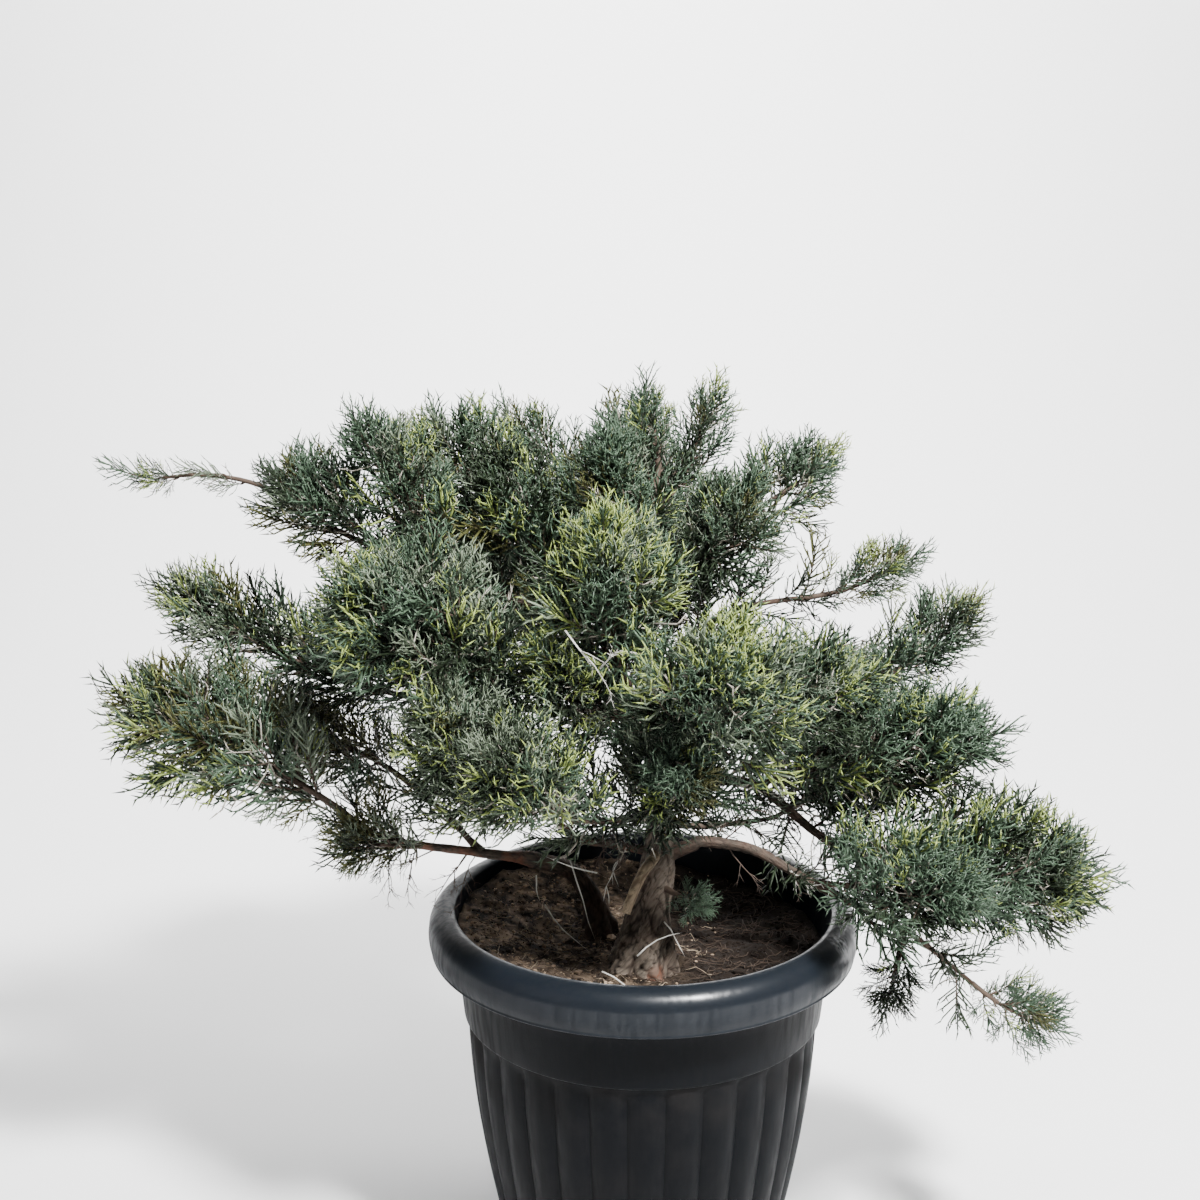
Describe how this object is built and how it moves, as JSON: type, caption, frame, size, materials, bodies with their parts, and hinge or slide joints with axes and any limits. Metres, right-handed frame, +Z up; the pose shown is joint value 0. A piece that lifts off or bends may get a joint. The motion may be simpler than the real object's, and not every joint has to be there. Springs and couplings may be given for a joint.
{
  "type": "potted spreading conifer shrub",
  "caption": "Spreading juniper-like conifer shrub, wider than tall, with a leaning trunk and open tiers of scale-leaf foliage, in a round fluted pot filled with soil.",
  "frame": {"origin": "centre of the pot's flat underside, on the surface that it stands on", "axes": "+X to the right along the crown's longest spread, +Y to the back, +Z up along the pot's axis"},
  "size_m": [1.1452, 0.7323, 1.0353],
  "materials": {
    "pot": "satin dark grey plastic, dusty on the fluted body",
    "soil": "loose brown fibrous soil",
    "bark": "flaky grey-brown bark",
    "dead_wood": "bare pale weathered wood",
    "foliage": "dull blue-green scale leaves",
    "young_foliage": "yellow-green young scale leaves"
  },
  "bodies": {
    "root": {"pot": "pot", "soil": "soil", "trunk": "bark", "stem_left": "bark", "bough_left_low": "bark", "bough_left_fork": "bark", "bough_left_mid": "bark", "bough_left_high": "bark", "bough_front_left": "bark", "bough_top_left": "bark", "bough_top_right": "bark", "bough_upper_right": "bark", "bough_right_mid": "bark", "bough_right_dark": "bark", "bough_right_low": "bark", "bough_right_thin": "bark", "bough_cut": "dead_wood", "bough_front_low": "bark", "bough_front_mid": "bark", "bough_front_right": "bark", "bough_rear_left": "bark", "bough_rear_right": "bark", "bough_rear_mid": "bark", "foliage_whip": "foliage", "foliage_left_high": "foliage", "foliage_left_leader": "foliage", "foliage_left_back": "foliage", "foliage_left_mid": "foliage", "foliage_left_low": "young_foliage", "foliage_left_droop": "foliage", "foliage_left_olive": "foliage", "foliage_front_left": "foliage", "foliage_front_left_low": "foliage", "foliage_top_left": "foliage", "foliage_top_tuft": "foliage", "foliage_upper_left": "foliage", "foliage_centre_high": "foliage", "foliage_crown_top": "foliage", "foliage_crown_side": "foliage", "foliage_top_right": "foliage", "foliage_upper_mid": "foliage", "foliage_upper_right": "foliage", "foliage_right_mid": "foliage", "foliage_right_spur": "foliage", "foliage_right_inner": "foliage", "foliage_right_upper": "foliage", "foliage_right_tip": "foliage", "foliage_right_front": "foliage", "foliage_right_hang": "foliage", "foliage_right_end": "young_foliage", "foliage_centre": "young_foliage", "foliage_centre_left": "foliage", "foliage_centre_right": "young_foliage", "foliage_front_low": "young_foliage", "foliage_front_centre": "foliage", "foliage_trunk_sprig": "foliage", "foliage_rear_left": "foliage", "foliage_rear_right": "foliage", "foliage_rear_mid": "foliage", "foliage_rear_top": "foliage"}
  },
  "joints": []
}
